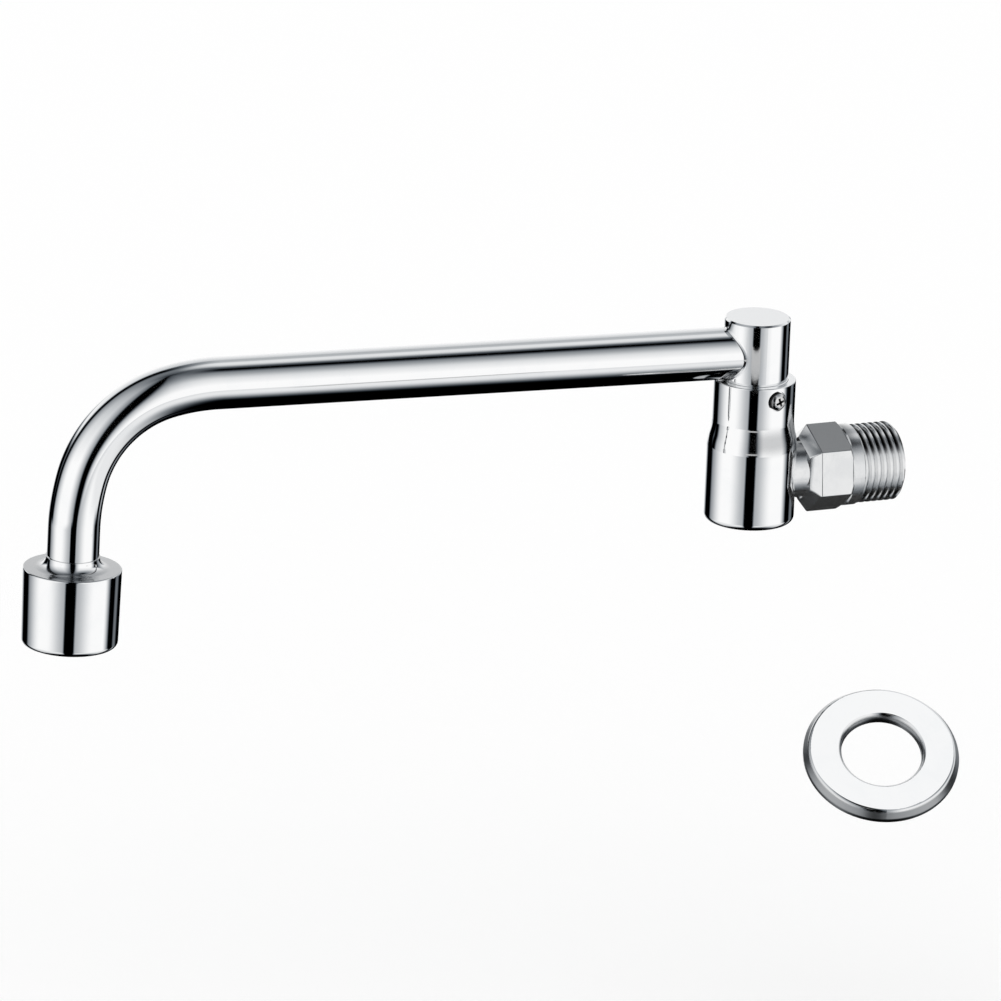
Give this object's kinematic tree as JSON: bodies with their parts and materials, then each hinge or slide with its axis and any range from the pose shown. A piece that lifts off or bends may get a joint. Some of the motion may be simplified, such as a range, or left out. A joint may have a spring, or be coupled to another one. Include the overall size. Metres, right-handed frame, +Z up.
{
  "type": "wall-mounted swing spout tap",
  "caption": "Wall-mounted single-inlet kitchen tap: the swinging bent spout on a turret works the valve, with an aerated outlet head and a loose wall flange.",
  "frame": {"origin": "centre of the collar's wall-side face, on the axis of the inlet thread, where the thread begins", "axes": "+Y along the inlet thread into the wall, +Z up along the swivel axis, arm towards -Y"},
  "size_m": [0.1159, 0.2413, 0.1151],
  "materials": {
    "polished_chrome": "mirror-polished chrome plate on brass",
    "machined_chrome": "bright chrome plate over turned and milled brass, tool marks showing",
    "screw_steel": "bright stainless steel",
    "spring_steel": "drawn stainless wire and mesh",
    "plain_brass": "turned, unplated",
    "black_rubber": "matte moulded nitrile rubber",
    "white_ptfe": "waxy white",
    "aerator_plastic": "moulded, pale grey"
  },
  "bodies": {
    "tap_body": {"body_housing": "polished_chrome", "limit_screw": "screw_steel", "thrust_washer": "white_ptfe", "inlet_nipple": "machined_chrome", "valve_seat": "black_rubber", "seat_spring": "spring_steel", "seat_retainer": "plain_brass", "inlet_strainer": "spring_steel", "wall_flange": "polished_chrome"},
    "swing_arm": {"swivel_spindle": "polished_chrome", "upper_oring": "black_rubber", "middle_oring": "black_rubber", "lower_oring": "black_rubber", "guide_ring": "white_ptfe", "spout_tube": "polished_chrome", "spout_braze": "polished_chrome", "outlet_housing": "polished_chrome", "aerator_gasket": "black_rubber", "aerator_body": "aerator_plastic", "aerator_screen": "spring_steel", "aerator_ring": "machined_chrome", "aerator_grid": "aerator_plastic"}
  },
  "joints": [
    {"name": "arm_swing", "type": "hinge", "parent": "tap_body", "child": "swing_arm", "pos_m": [0, -0.0289, 0], "axis": [0, 0, 1], "range_deg": [-84.5, 95.5]}
  ]
}
